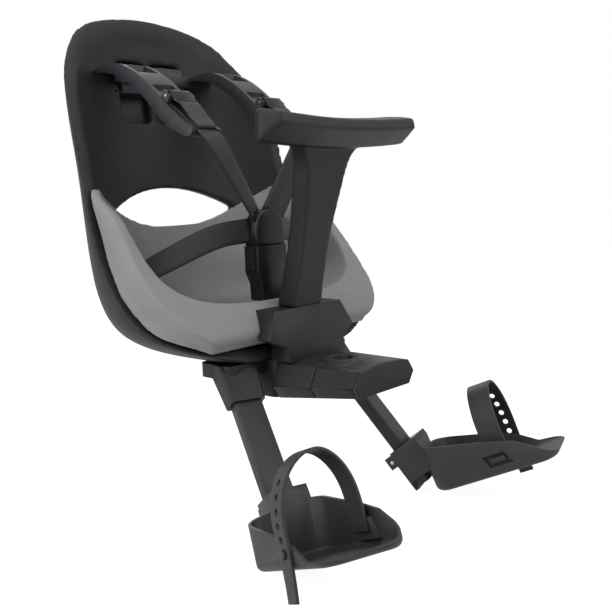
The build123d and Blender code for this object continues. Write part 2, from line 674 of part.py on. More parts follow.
with BuildPart() as seat_carrier:
    with BuildSketch(Plane.XY.offset(CARRIER_BOTTOM)):
        with Locations((0, (carrier_front + CARRIER_BACK) / 2)):
            RectangleRounded(2 * CARRIER_HALF, CARRIER_BACK - carrier_front, CARRIER_CORNER)
    extrude(amount=CARRIER_TOP - CARRIER_BOTTOM)
    with BuildSketch(Plane.XY.offset(CARRIER_TOP)):
        with Locations((0, (WING_FRONT + CARRIER_BACK) / 2)):
            RectangleRounded(2 * WING_HALF, CARRIER_BACK - WING_FRONT, CARRIER_CORNER)
    extrude(amount=-WING_THICKNESS)
    add(leg_socket.part)
    mirror(leg_socket.part, about=Plane.YZ)
    add(leg_hole.part, mode=Mode.SUBTRACT)
    mirror(leg_hole.part, about=Plane.YZ, mode=Mode.SUBTRACT)
    with Locations((0, 0, CARRIER_TOP)):
        Box(400, 400, 100, align=(Align.CENTER, Align.CENTER, Align.MIN), mode=Mode.SUBTRACT)
    with Locations((0, BUCKLE_PLACE, CARRIER_TOP)):
        Box(ANCHOR_LENGTH + 2, ANCHOR_WIDTH + 2, 2 * ANCHOR_POCKET, mode=Mode.SUBTRACT)
    with BuildSketch(Plane.XY.offset(CARRIER_BOTTOM)):
        with Locations(*shell_screw_places, *column_screw_places):
            Circle(SCREW_DIAMETER / 2 + SLIDE_GAP)
    extrude(amount=100, mode=Mode.SUBTRACT)
    with BuildSketch(Plane.XY.offset(CARRIER_BOTTOM)):
        with Locations(*shell_screw_places):
            Circle(SCREW_HEAD_DIAMETER / 2 + SLIDE_GAP)
    extrude(amount=SHELL_SCREW_SEAT - CARRIER_BOTTOM, mode=Mode.SUBTRACT)
    with BuildSketch(Plane.XY.offset(CARRIER_BOTTOM)):
        with Locations(*column_screw_places):
            Circle(SCREW_HEAD_DIAMETER / 2 + SLIDE_GAP)
    extrude(amount=COLUMN_SCREW_SEAT - CARRIER_BOTTOM, mode=Mode.SUBTRACT)
save(seat_carrier.part, "seat_carrier")

# Screws from below: four into the shell and two into the column
for label, places, seat, length in (
    ("shell_screws", shell_screw_places, SHELL_SCREW_SEAT, SHELL_SCREW_LENGTH),
    ("column_screws", column_screw_places, COLUMN_SCREW_SEAT, COLUMN_SCREW_LENGTH),
):
    with BuildPart() as screws:
        with BuildSketch(Plane.XY.offset(seat)):
            with Locations(*places):
                Circle(SCREW_DIAMETER / 2)
        extrude(amount=length)
        with BuildSketch(Plane.XY.offset(seat)):
            with Locations(*places):
                Circle(SCREW_HEAD_DIAMETER / 2)
        extrude(amount=-SCREW_HEAD_LENGTH)
    save(screws.part, label)

# Leg tubes and the plugs in their lower ends
with BuildPart() as leg_tube:
    with BuildSketch(leg_plane.offset(-TUBE_INSERT)):
        RectangleRounded(TUBE_WIDTH, TUBE_DEPTH, TUBE_CORNER)
        RectangleRounded(TUBE_WIDTH - 2 * TUBE_WALL, TUBE_DEPTH - 2 * TUBE_WALL, 1, mode=Mode.SUBTRACT)
    extrude(amount=TUBE_INSERT + TUBE_REACH)
save_pair(leg_tube.part, "leg_tube")
with BuildPart() as leg_plug:
    with BuildSketch(leg_plane.offset(TUBE_REACH)):
        RectangleRounded(TUBE_WIDTH, TUBE_DEPTH, TUBE_CORNER)
    extrude(amount=TUBE_WALL)
    with BuildSketch(leg_plane.offset(TUBE_REACH)):
        RectangleRounded(
            TUBE_WIDTH - 2 * TUBE_WALL - 2 * FIT_GAP, TUBE_DEPTH - 2 * TUBE_WALL - 2 * FIT_GAP, 1,
        )
    extrude(amount=-PLUG_LENGTH)
save_pair(leg_plug.part, "leg_plug")

# Foot tray: a toe box with one high wall, and a sleeve that slides on the leg tube
tray_plane = Plane(
    origin=TRAY_CENTRE, x_dir=outwards,
    z_dir=(
        -sin(radians(TOE_OUT)) * sin(radians(TRAY_PITCH)),
        cos(radians(TOE_OUT)) * sin(radians(TRAY_PITCH)),
        cos(radians(TRAY_PITCH)),
    ),
)
tray_middle = (TRAY_TOE + TRAY_HEEL) / 2
tray_length = TRAY_HEEL - TRAY_TOE
tray_top = TRAY_INNER_EDGE[0][1] + 4
inner_face = -TRAY_WIDTH / 2 + TRAY_WALL
with BuildPart() as tray_hollow:
    with BuildSketch(Plane.XY.offset(TRAY_WALL)):
        with Locations((0, tray_middle)):
            RectangleRounded(TRAY_WIDTH - 2 * TRAY_WALL, tray_length - 2 * TRAY_WALL, TRAY_CORNER - TRAY_WALL)
    extrude(amount=2 * tray_top)
    fillet(tray_hollow.edges().group_by(Axis.Z)[0], TRAY_SOLE_RADIUS - TRAY_WALL)
with BuildPart() as tray_box:
    with BuildSketch(Plane.XY):
        with Locations((0, tray_middle)):
            RectangleRounded(TRAY_WIDTH, tray_length, TRAY_CORNER)
    extrude(amount=tray_top)
    fillet(tray_box.edges().group_by(Axis.Z)[0], TRAY_SOLE_RADIUS)
    add(tray_hollow.part, mode=Mode.SUBTRACT)
    for reach, edge in ((-TRAY_WIDTH, TRAY_INNER_EDGE), (TRAY_WIDTH, TRAY_OUTER_EDGE)):
        with BuildSketch(Plane.YZ.offset(reach / 2)):
            with BuildLine():
                Polyline(*edge, (edge[-1][0], 2 * tray_top), (edge[0][0], 2 * tray_top), close=True)
            make_face()
    loft(ruled=True, mode=Mode.SUBTRACT)
    with BuildSketch(Plane.YZ.offset(inner_face - 0.5)):
        with BuildLine():
            Polyline(*ANCHOR_BOSS, close=True)
        make_face()
    extrude(amount=ANCHOR_BOSS_DEPTH + 0.5)
    with BuildSketch(Plane.YZ.offset(-TRAY_WIDTH / 2)):
        with BuildLine():
            Polyline(*ANCHOR_RECESS, close=True)
        make_face()
    extrude(amount=ANCHOR_BOSS_DEPTH, mode=Mode.SUBTRACT)
    with Locations((inner_face + ANCHOR_BOSS_DEPTH, STRAP_PLACE, ANCHOR_HEIGHT)):
        Box(4 * TRAY_WALL, ANCHOR_TAB_WIDTH + 1, ANCHOR_TAB_THICKNESS + 1, mode=Mode.SUBTRACT)
    with BuildSketch(Plane.YZ.offset(TRAY_WIDTH / 2 - 1)):
        with Locations((STRAP_PLACE, PEG_HEIGHT)):
            Circle(PEG_DIAMETER / 2)
    extrude(amount=1 + STRAP_THICKNESS + 3 * SEAT_GAP)
    with BuildSketch(Plane.YZ.offset(TRAY_WIDTH / 2 + STRAP_THICKNESS + 2.5 * SEAT_GAP)):
        with Locations((STRAP_PLACE, PEG_HEIGHT)):
            Circle(PEG_HEAD_DIAMETER / 2)
    extrude(amount=2)
sleeve_half = TUBE_WIDTH / 2 + SLIDE_GAP + SLEEVE_WALL
sleeve_back = TUBE_DEPTH / 2 + SLIDE_GAP + SLEEVE_WALL
pin_place = (-sleeve_back - LEVER_EYE / 2 - 0.6, SLEEVE_TOP + LEVER_EYE / 2 + 4)
lever_axis = Plane(
    origin=leg_plane.from_local_coords((0, *pin_place)), x_dir=tuple(leg_plane.y_dir), z_dir=outwards,
)
with BuildPart() as foot_tray:
    with BuildSketch(leg_plane.offset(SLEEVE_TOP)):
        with Locations((0, (SLEEVE_REACH - sleeve_back) / 2)):
            Rectangle(2 * sleeve_half, SLEEVE_REACH + sleeve_back)
    extrude(amount=SLEEVE_LENGTH)
    with BuildSketch(leg_plane.offset(SLEEVE_TOP + 2)):
        for side in (1, -1):
            with Locations((side * (LEVER_WIDTH / 2 + 0.5 + EAR_THICKNESS / 2), -sleeve_back - LEVER_EYE / 2)):
                Rectangle(EAR_THICKNESS, LEVER_EYE + 2)
    extrude(amount=LEVER_EYE + 4)
    add(tray_plane.location * tray_hollow.part, mode=Mode.SUBTRACT)
    add(tray_plane.location * tray_box.part)
    with BuildSketch(leg_plane):
        RectangleRounded(TUBE_WIDTH + 2 * SLIDE_GAP, TUBE_DEPTH + 2 * SLIDE_GAP, TUBE_CORNER)
    extrude(amount=2 * TUBE_REACH, mode=Mode.SUBTRACT)
    with BuildSketch(lever_axis):
        Circle(LEVER_PIN_DIAMETER / 2 + FIT_GAP)
    extrude(amount=sleeve_half, both=True, mode=Mode.SUBTRACT)
save_pair(foot_tray.part, "foot_tray")

# Foot lever and its pin: clamps the sleeve on the tube
with BuildPart() as foot_lever:
    with BuildSketch(lever_axis):
        Circle(LEVER_EYE / 2)
    extrude(amount=LEVER_WIDTH / 2, both=True)
    with BuildSketch(leg_plane.offset(pin_place[1])):
        with Locations((0, pin_place[0] + LEVER_THICKNESS / 2)):
            Rectangle(LEVER_WIDTH, LEVER_THICKNESS)
    extrude(amount=LEVER_LENGTH)
    with BuildSketch(leg_plane.offset(SLEEVE_TOP + SLEEVE_LENGTH + 1)):
        with Locations((0, (pin_place[0] - TUBE_DEPTH / 2 - 1) / 2)):
            Rectangle(LEVER_WIDTH, -pin_place[0] - TUBE_DEPTH / 2 - 1)
    extrude(amount=4)
    with BuildSketch(lever_axis):
        Circle(LEVER_PIN_DIAMETER / 2 + FIT_GAP)
    extrude(amount=LEVER_WIDTH, both=True, mode=Mode.SUBTRACT)
save_pair(foot_lever.part, "foot_lever")
with BuildPart() as lever_pin:
    with BuildSketch(lever_axis):
        Circle(LEVER_PIN_DIAMETER / 2)
    extrude(amount=LEVER_WIDTH / 2 + 0.5 + EAR_THICKNESS, both=True)
save_pair(lever_pin.part, "lever_pin")

# Foot strap: anchored in the inner wall, arched over the foot and buttoned on the peg
strap_inner = inner_face + ANCHOR_BOSS_DEPTH + SEAT_GAP + STRAP_THICKNESS / 2
strap_outer = TRAY_WIDTH / 2 + 1.5 * SEAT_GAP + STRAP_THICKNESS / 2
strap_path = [
    (strap_inner, ANCHOR_HEIGHT - 2), (strap_inner, ANCHOR_HEIGHT + 10),
    (strap_inner + 0.3, ANCHOR_HEIGHT + 24), (strap_inner + 7, 70),
    (-2, STRAP_RISE - STRAP_THICKNESS), (24, 80), (strap_outer - 4, 58),
    (strap_outer + 0.2, PEG_HEIGHT + 22), (strap_outer, PEG_HEIGHT + 10), (strap_outer, PEG_HEIGHT),
    (strap_outer + 2, STRAP_TAIL),
]
with BuildPart() as strap_local:
    with BuildSketch(Plane.XZ.offset(-STRAP_PLACE)):
        with BuildLine():
            Spline(*strap_path)
        trace(line_width=STRAP_THICKNESS)
    extrude(amount=STRAP_WIDTH / 2, both=True)
    with BuildSketch(Plane.YZ.offset(20)):
        for side in (1, -1):
            with BuildLine():
                Polyline(
                    (STRAP_PLACE + side * STRAP_WIDTH / 2, STRAP_RISE),
                    (STRAP_PLACE + side * STRAP_TIP_WIDTH / 2, STRAP_TAIL - 2),
                    (STRAP_PLACE + side * STRAP_WIDTH, STRAP_TAIL - 2), close=True,
                )
            make_face()
    extrude(amount=TRAY_WIDTH, mode=Mode.SUBTRACT)
    with BuildSketch(Plane.YZ.offset(20)):
        for step in range(STRAP_HOLES):
            with Locations((STRAP_PLACE, PEG_HEIGHT + step * STRAP_HOLE_PITCH)):
                RegularPolygon(STRAP_HOLE_DIAMETER / 2, 6, major_radius=False)
    extrude(amount=TRAY_WIDTH, mode=Mode.SUBTRACT)
    with Locations((strap_inner - ANCHOR_BOSS_DEPTH / 2 - 0.4, STRAP_PLACE, ANCHOR_HEIGHT)):
        Box(ANCHOR_BOSS_DEPTH + 1.2, ANCHOR_TAB_WIDTH, ANCHOR_TAB_THICKNESS)
    with Locations((inner_face - TRAY_WALL + ANCHOR_BOSS_DEPTH - SEAT_GAP, STRAP_PLACE, ANCHOR_HEIGHT)):
        Box(
            3.4, ANCHOR_TAB_WIDTH + 4, 2 * ANCHOR_TAB_THICKNESS,
            align=(Align.MAX, Align.CENTER, Align.CENTER),
        )
save_pair(tray_plane.location * strap_local.part, "foot_strap")

# Shoulder guide: an arm that carries the shoulder strap forwards, with a neck through the backrest
neck_back = -SHELL_WALL - SLIDER_GAP
guide_middle = (GUIDE_INNER + GUIDE_OUTER) / 2
channel_plane = Plane(
    origin=(guide_middle, *CHANNEL_START), x_dir=(1, 0, 0),
    z_dir=(0, -sin(radians(CHANNEL_SLOPE)), cos(radians(CHANNEL_SLOPE))),
)
strap_level = -CHANNEL_DEPTH + SEAT_GAP + WEB_THICKNESS / 2
adjuster_level = strap_level + WEB_THICKNESS / 2 + 0.3 + ADJUSTER_RADIUS
adjuster_axis = Plane(
    origin=channel_plane.from_local_coords((0, -ADJUSTER_BACK, adjuster_level)),
    x_dir=tuple(channel_plane.y_dir), z_dir=(1, 0, 0),
)
screw_rows = [
    (side * SLIDER_SCREW_X, row * SLIDER_SCREW_Y) for side in (1, -1) for row in (1, -1)
]
with BuildPart() as shoulder_guide:
    with BuildSketch(Plane.YZ.offset(GUIDE_INNER)):
        with BuildLine():
            top_edge = Spline(*GUIDE_TOP)
            under_edge = Spline(*GUIDE_UNDER)
            Line(under_edge @ 1, top_edge @ 0)
        make_face()
    extrude(amount=GUIDE_OUTER - GUIDE_INNER)
    pocket_front, pocket_back, pocket_floor = GUIDE_POCKET
    with Locations((guide_middle, (pocket_front + pocket_back) / 2, pocket_floor)):
        Box(
            POCKET_WIDTH, pocket_back - pocket_front, 40,
            align=(Align.CENTER, Align.CENTER, Align.MIN), mode=Mode.SUBTRACT,
        )
    with BuildSketch(channel_plane.offset(-CHANNEL_DEPTH)):
        with Locations((0, -100)):
            Rectangle(POCKET_WIDTH, 200)
    extrude(amount=40, mode=Mode.SUBTRACT)
    with BuildSketch(back_plane.offset(4)):
        with Locations(((WINDOW_INNER + NECK_SIDE_GAP + GUIDE_INNER + 10) / 2, 0)):
            Rectangle(GUIDE_INNER + 10 - WINDOW_INNER - NECK_SIDE_GAP, 12)
    extrude(amount=7)
    add(bowl(inset(SHELL_STATIONS, SHELL_WALL + GUIDE_GAP)), mode=Mode.INTERSECT)
    with BuildSketch(channel_plane.offset(-CHANNEL_DEPTH - 2)):
        for side in (1, -1):
            with Locations((side * (POCKET_WIDTH + CHEEK_THICKNESS) / 2, -ADJUSTER_BACK)):
                Rectangle(CHEEK_THICKNESS, 2 * ADJUSTER_RADIUS)
    extrude(amount=CHANNEL_DEPTH + 2 + adjuster_level + 3)
    with BuildSketch(back_plane.offset(neck_back)):
        with Locations(((WINDOW_INNER + WINDOW_OUTER) / 2, 0)):
            Rectangle(WINDOW_OUTER - WINDOW_INNER - 2 * NECK_SIDE_GAP, NECK_HEIGHT)
    extrude(amount=-neck_back + 6)
    with BuildSketch(back_plane.offset(neck_back)):
        with Locations(*screw_rows[:2]):
            Circle(SCREW_DIAMETER / 2 + FIT_GAP)
    extrude(amount=SLIDER_SCREW_LENGTH - SLIDER_THICKNESS + 1, mode=Mode.SUBTRACT)
    with BuildSketch(adjuster_axis):
        Circle(ADJUSTER_PIN_DIAMETER / 2 + FIT_GAP)
    extrude(amount=GUIDE_OUTER, both=True, mode=Mode.SUBTRACT)
save_pair(shoulder_guide.part, "shoulder_guide")

# Harness slider behind the shell: ties both guides together, held by four screws
with BuildPart() as harness_slider:
    with BuildSketch(back_plane.offset(neck_back)):
        RectangleRounded(2 * SLIDER_HALF, SLIDER_HEIGHT, 6)
        with Locations(*screw_rows):
            Circle(SCREW_DIAMETER / 2 + SLIDE_GAP, mode=Mode.SUBTRACT)
    extrude(amount=-SLIDER_THICKNESS)
save(harness_slider.part, "harness_slider")
with BuildPart() as slider_screws:
    with BuildSketch(back_plane.offset(neck_back - SLIDER_THICKNESS)):
        with Locations(*screw_rows):
            Circle(SCREW_DIAMETER / 2)
    extrude(amount=SLIDER_SCREW_LENGTH)
    with BuildSketch(back_plane.offset(neck_back - SLIDER_THICKNESS)):
        with Locations(*screw_rows):
            Circle(SCREW_HEAD_DIAMETER / 2)
    extrude(amount=-SCREW_HEAD_LENGTH + 1)
save(slider_screws.part, "slider_screws")

# Strap adjusters: a cam lever with a lip and its pin, on each guide
with BuildPart() as adjuster_lever:
    with BuildSketch(adjuster_axis):
        Circle(ADJUSTER_RADIUS)
        with BuildLine():
            Polyline(
                (0, ADJUSTER_RADIUS), (-ADJUSTER_LIP, ADJUSTER_RADIUS - 2.6),
                (-ADJUSTER_LIP, ADJUSTER_RADIUS - 5), (0, 0), close=True,
            )
        make_face()
    extrude(amount=POCKET_WIDTH / 2 - NECK_SIDE_GAP, both=True)
    with BuildSketch(adjuster_axis):
        Circle(ADJUSTER_PIN_DIAMETER / 2 + FIT_GAP)
    extrude(amount=POCKET_WIDTH, both=True, mode=Mode.SUBTRACT)
save_pair(adjuster_lever.part, "adjuster_lever")
with BuildPart() as adjuster_pin:
    with BuildSketch(adjuster_axis):
        Circle(ADJUSTER_PIN_DIAMETER / 2)
    extrude(amount=POCKET_WIDTH / 2 + CHEEK_THICKNESS, both=True)
save_pair(adjuster_pin.part, "adjuster_pin")

# Shoulder straps: from the guides down to the buckle's tongue
roof_slope = (TONGUE_TOP - TONGUE_SHOULDER) / BUCKLE_HALF
roof_across = (1, 0, -roof_slope)
roof_down = (-roof_slope, 0, -1)
channel_down = tuple(-channel_plane.y_dir)
channel_start, channel_end = [
    channel_plane.from_local_coords((0, -place, strap_level)) for place in SHOULDER_RUN
]
roof_middle = (BUCKLE_HALF / 2 + 0.9, BUCKLE_PLACE, (TONGUE_TOP + TONGUE_SHOULDER) / 2 + 0.4)
shoulder_places = [
    (channel_start, channel_down, (1, 0, 0)),
    *run_places((channel_end, SHOULDER_BEND, roof_middle), (channel_down, roof_down), ((1, 0, 0), roof_across)),
]
save_pair(band(shoulder_places, WEB_THICKNESS, WEB_WIDTH), "shoulder_strap")

# Hip straps: from the tongue's sides into slots of the pad
save_pair(band(hip_places, WEB_THICKNESS, WEB_WIDTH), "hip_strap")

# Buckle: tongue above, housing with two release buttons below
button_pocket = BUTTON_REACH + BUTTON_TRAVEL + 1
with BuildPart() as buckle_tongue:
    with BuildSketch(Plane.XZ.offset(-BUCKLE_PLACE)):
        with BuildLine():
            Polyline(
                (0, TONGUE_TOP), (BUCKLE_HALF, TONGUE_SHOULDER), (BUCKLE_HALF, BUCKLE_SEAM + SEAT_GAP / 2),
                (-BUCKLE_HALF, BUCKLE_SEAM + SEAT_GAP / 2), (-BUCKLE_HALF, TONGUE_SHOULDER), close=True,
            )
        make_face()
    extrude(amount=BUCKLE_DEPTH / 2 - 1, both=True)
save(buckle_tongue.part, "buckle_tongue")
with BuildPart() as buckle_housing:
    with BuildSketch(Plane.XZ.offset(-BUCKLE_PLACE)):
        with BuildLine():
            left = [
                (BUCKLE_HALF, BUCKLE_SEAM), (BUCKLE_HALF, HOUSING_FOOT), (STALK_HALF + 1, STALK_TOP),
                (STALK_HALF, STALK_BOTTOM),
            ]
            Polyline(*left, *[(-x, z) for x, z in reversed(left)], close=True)
        make_face()
    extrude(amount=BUCKLE_DEPTH / 2, both=True)
    for side in (1, -1):
        with Locations((side * BUCKLE_HALF, BUCKLE_PLACE, BUTTON_MIDDLE)):
            Box(
                2 * button_pocket, BUTTON_DEPTH + 2 * SLIDE_GAP, BUTTON_HEIGHT + 2 * SLIDE_GAP,
                mode=Mode.SUBTRACT,
            )
    with Locations((0, BUCKLE_PLACE, STALK_BOTTOM)):
        Box(
            WEB_WIDTH + 2 * SEAT_GAP, WEB_THICKNESS + 2 * SEAT_GAP,
            2 * (CROTCH_TOP + SEAT_GAP - STALK_BOTTOM), mode=Mode.SUBTRACT,
        )
save(buckle_housing.part, "buckle_housing")
with BuildPart() as release_button:
    with Locations((BUCKLE_HALF + BUTTON_PROUD, BUCKLE_PLACE, BUTTON_MIDDLE)):
        Box(
            BUTTON_REACH + BUTTON_PROUD, BUTTON_DEPTH, BUTTON_HEIGHT,
            align=(Align.MAX, Align.CENTER, Align.CENTER),
        )
save_pair(release_button.part, "release_button")

# Crotch strap and the anchor bar that holds it under the shell
anchor_top = shell_low - SEAT_GAP
with BuildPart() as crotch_strap:
    with Locations((0, BUCKLE_PLACE, anchor_top - ANCHOR_THICKNESS)):
        Box(
            WEB_WIDTH, WEB_THICKNESS, CROTCH_TOP - anchor_top + ANCHOR_THICKNESS,
            align=(Align.CENTER, Align.CENTER, Align.MIN),
        )
save(crotch_strap.part, "crotch_strap")
with BuildPart() as strap_anchor:
    with Locations((0, BUCKLE_PLACE, anchor_top)):
        Box(
            ANCHOR_LENGTH, ANCHOR_WIDTH, ANCHOR_THICKNESS,
            align=(Align.CENTER, Align.CENTER, Align.MAX),
        )
        Box(WEB_WIDTH + 2 * SEAT_GAP, WEB_THICKNESS + 2 * SEAT_GAP, 4 * ANCHOR_THICKNESS, mode=Mode.SUBTRACT)
save(strap_anchor.part, "strap_anchor")
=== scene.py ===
"""A front-mounted child's bike seat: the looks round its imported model, in metres, in the model's own frame."""
import math

import bmesh
import bpy
import numpy
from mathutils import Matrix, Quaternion, Vector


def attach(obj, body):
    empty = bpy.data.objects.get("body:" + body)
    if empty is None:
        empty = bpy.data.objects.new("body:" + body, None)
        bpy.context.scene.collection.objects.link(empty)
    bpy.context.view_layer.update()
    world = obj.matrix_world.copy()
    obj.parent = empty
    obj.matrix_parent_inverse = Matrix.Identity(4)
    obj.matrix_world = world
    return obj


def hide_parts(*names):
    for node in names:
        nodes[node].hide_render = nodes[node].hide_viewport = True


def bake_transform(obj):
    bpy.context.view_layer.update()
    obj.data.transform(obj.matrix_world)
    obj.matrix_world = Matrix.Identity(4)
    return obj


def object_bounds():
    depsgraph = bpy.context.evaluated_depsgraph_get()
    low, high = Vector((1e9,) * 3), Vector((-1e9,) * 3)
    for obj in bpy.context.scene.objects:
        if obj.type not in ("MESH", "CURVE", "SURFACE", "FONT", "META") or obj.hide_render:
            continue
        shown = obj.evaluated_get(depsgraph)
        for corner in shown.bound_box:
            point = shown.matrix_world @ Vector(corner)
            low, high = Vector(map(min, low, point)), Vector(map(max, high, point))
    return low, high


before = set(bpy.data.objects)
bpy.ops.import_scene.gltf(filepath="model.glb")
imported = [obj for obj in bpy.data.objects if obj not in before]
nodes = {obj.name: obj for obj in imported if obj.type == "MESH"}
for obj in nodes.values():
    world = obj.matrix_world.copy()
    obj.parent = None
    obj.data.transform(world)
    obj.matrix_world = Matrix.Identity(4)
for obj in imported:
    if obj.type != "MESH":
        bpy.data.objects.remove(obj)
cad_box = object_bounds()

# The studio: a white sweep, three large soft boxes, a strip beside the shell's flank and one behind it. The
# camera stands at the child's right, a little below the grab bar, and is turned a trace about its own axis.
scene = bpy.context.scene
scene.view_settings.view_transform = "Standard"

eye = Vector((-0.6451, -0.5313, 0.1862))
looking = Vector((0.7376, 0.6601, -0.1417))
camera_turn = -0.033
camera_data = bpy.data.cameras.new("camera")
camera_data.lens = 50
camera_data.sensor_width = 36
camera = bpy.data.objects.new("camera", camera_data)
camera.location = eye
camera.rotation_mode = "QUATERNION"
camera.rotation_quaternion = looking.to_track_quat("-Z", "Y") @ Quaternion((0, 0, 1), camera_turn)
scene.collection.objects.link(camera)
scene.camera = camera


def soft_box(name, place, aim, width, height, power):
    """A rectangular studio lamp that faces a point."""
    lamp = bpy.data.lights.new(name, "AREA")
    lamp.shape = "RECTANGLE"
    lamp.size = width
    lamp.size_y = height
    lamp.energy = power
    holder = bpy.data.objects.new(name, lamp)
    holder.location = place
    holder.rotation_mode = "QUATERNION"
    holder.rotation_quaternion = (Vector(aim) - Vector(place)).to_track_quat("-Z", "Y")
    scene.collection.objects.link(holder)


soft_box("top_box", (-0.2, -0.3, 1.7), (0, 0.1, 0.1), 1.6, 1.6, 17)
soft_box("left_box", (-1.7, -0.1, 1.2), (0, 0.1, 0.2), 1.0, 1.2, 22)
soft_box("right_box", (0.6, -1.6, 1.1), (0, 0.1, 0.1), 1.0, 1.2, 18)
soft_box("flank_strip", (-1.5, 0.8, 0.2), (0, 0.2, 0.1), 0.5, 1.2, 12)
soft_box("back_strip", (0.9, 1.5, 0.9), (0, 0.2, 0.2), 0.5, 1.4, 12)


class Ink:
    """A socket of a finish's node tree. Sums on it are written as Python sums and become Math nodes."""

    def __init__(self, tree, socket=None):
        self.tree = tree
        self.socket = socket

    def node(self, kind, settings=None, sockets=None, out=0):
        """Adds a node, sets it up, fills or links its sockets and gives back one output."""
        made = self.tree.nodes.new("ShaderNode" + kind)
        for key, value in (settings or {}).items():
            setattr(made, key, value)
        for key, value in (sockets or {}).items():
            if isinstance(value, Ink):
                self.tree.links.new(value.socket, made.inputs[key])
            else:
                made.inputs[key].default_value = value
        return Ink(self.tree, made.outputs[out])

    def sum(self, operation, first, second):
        """One Math node on two values."""
        return self.node("Math", {"operation": operation}, {0: first, 1: second})

    def __add__(self, other):
        return self.sum("ADD", self, other)

    def __radd__(self, other):
        return self.sum("ADD", other, self)

    def __sub__(self, other):
        return self.sum("SUBTRACT", self, other)

    def __rsub__(self, other):
        return self.sum("SUBTRACT", other, self)

    def __mul__(self, other):
        return self.sum("MULTIPLY", self, other)

    def __rmul__(self, other):
        return self.sum("MULTIPLY", other, self)

    def sine(self):
        return self.node("Math", {"operation": "SINE"}, {0: self})


def finish_of(name):
    """An empty finish: the material, the ink to build it with and its shader."""
    material = bpy.data.materials.new(name)
    material.use_nodes = True
    shader = material.node_tree.nodes["Principled BSDF"]
    return material, Ink(material.node_tree), shader


def feed(ink, shader, **sockets):
    """Links or sets the shader's sockets, whose names are written with _ for a space."""
    for key, value in sockets.items():
        socket = shader.inputs[key.replace("_", " ")]
        if isinstance(value, Ink):
            ink.tree.links.new(value.socket, socket)
        else:
            socket.default_value = value


def background_rays(ink):
    """One for a ray that shows the background: straight to the camera, mirrored by metal or through glass."""
    straight = ink.node("LightPath", out="Is Camera Ray")
    mirrored = ink.node("LightPath", out="Is Glossy Ray")
    through = ink.node("LightPath", out="Is Transmission Ray")
    return ink.sum("MAXIMUM", ink.sum("MAXIMUM", straight, mirrored), through)


floor_level = cad_box[0][2] - 0.002
floor_half = 6
floor_glow, floor_glow_share = 1.23, 0.75
sweep_mesh = bmesh.new()
bmesh.ops.create_grid(sweep_mesh, x_segments=1, y_segments=1, size=floor_half)
bmesh.ops.translate(sweep_mesh, verts=sweep_mesh.verts, vec=(0, 0, floor_level))
sweep_data = bpy.data.meshes.new("floor")
sweep_mesh.to_mesh(sweep_data)
sweep_mesh.free()
floor = bpy.data.objects.new("floor", sweep_data)
scene.collection.objects.link(floor)
floor_white, floor_ink, floor_shader = finish_of("floor_white")
feed(floor_ink, floor_shader, Base_Color=(0.86, 0.86, 0.86, 1), Roughness=0.8)
lit_floor = Ink(floor_ink.tree, floor_shader.outputs[0])
white = floor_ink.node("Emission", sockets={"Color": (1, 1, 1, 1), "Strength": floor_glow})
shown = floor_ink.node(
    "MixShader", sockets={0: background_rays(floor_ink) * floor_glow_share, 1: lit_floor, 2: white},
)
floor_out = floor_white.node_tree.nodes["Material Output"]
floor_white.node_tree.links.new(shown.socket, floor_out.inputs["Surface"])
sweep_data.materials.append(floor_white)

room_light = 0.3
world = bpy.data.worlds.new("studio")
world.use_nodes = True
scene.world = world
room = world.node_tree.nodes["Background"]
room.inputs["Color"].default_value = (1, 1, 1, 1)
strength = room_light + (1 - room_light) * background_rays(Ink(world.node_tree))
world.node_tree.links.new(strength.socket, room.inputs["Strength"])


# The bucket shell is one thick moulding of foamed plastic, matte charcoal with a fine grain. Its rim is
# rolled to a soft round edge, and a lens opening and two harness windows are cut through its back.
def grained(name, colour, lift, grain, rough):
    """A moulded finish: a fine grain, a trace of mottling, and edges that are rubbed a little lighter."""
    material, ink, shader = finish_of(name)
    place = ink.node("TexCoord", out=3)
    fine = ink.node("TexNoise", sockets={"Vector": place, "Scale": grain, "Detail": 2.0, "Roughness": 0.6})
    broad = ink.node("TexNoise", sockets={"Vector": place, "Scale": 34.0, "Detail": 3.0})
    worn = ink.node("NewGeometry", out=7)
    edge = ink.node("MapRange", sockets={0: worn, 1: 0.5, 2: 0.62, 3: 0.0, 4: 1.0})
    mottled = ink.node("MapRange", sockets={0: broad, 1: 0.3, 2: 0.7, 3: 0.0, 4: 1.0})
    share = edge * 0.35 + mottled * 0.25 + fine * 0.15
    tint = ink.node(
        "Mix", {"data_type": "RGBA"}, {0: share, 6: (*colour, 1), 7: (*[c * lift for c in colour], 1)}, out=2,
    )
    bump = ink.node("Bump", sockets={"Strength": 0.22, "Distance": 0.0003, "Height": fine})
    feed(
        ink, shader, Base_Color=tint, Roughness=rough - mottled * 0.06 + fine * 0.05, Normal=bump,
        Specular_IOR_Level=0.18,
    )
    return material


same_point = 0.00002


def coat(piece, finish):
    """Gives a piece one finish all over."""
    piece.data.materials.clear()
    piece.data.materials.append(finish)


def moulded_copy(name, node, cell, rounds, body):
    """A copy of a solid as one even skin of small quads, with its edges eased all round."""
    skin = bmesh.new()
    skin.from_mesh(nodes[node].data)
    bmesh.ops.remove_doubles(skin, verts=skin.verts, dist=same_point)
    data = bpy.data.meshes.new(name)
    skin.to_mesh(data)
    skin.free()
    piece = bpy.data.objects.new(name, data)
    scene.collection.objects.link(piece)
    remesh = piece.modifiers.new("skin", "REMESH")
    remesh.mode = "VOXEL"
    remesh.voxel_size = cell
    remesh.use_smooth_shade = True
    ease = piece.modifiers.new("ease", "SMOOTH")
    ease.factor = 0.5
    ease.iterations = rounds
    made = bpy.data.meshes.new_from_object(piece.evaluated_get(bpy.context.evaluated_depsgraph_get()))
    piece.modifiers.clear()
    piece.data = made
    made.name = name
    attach(piece, body)
    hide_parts(node)
    return piece


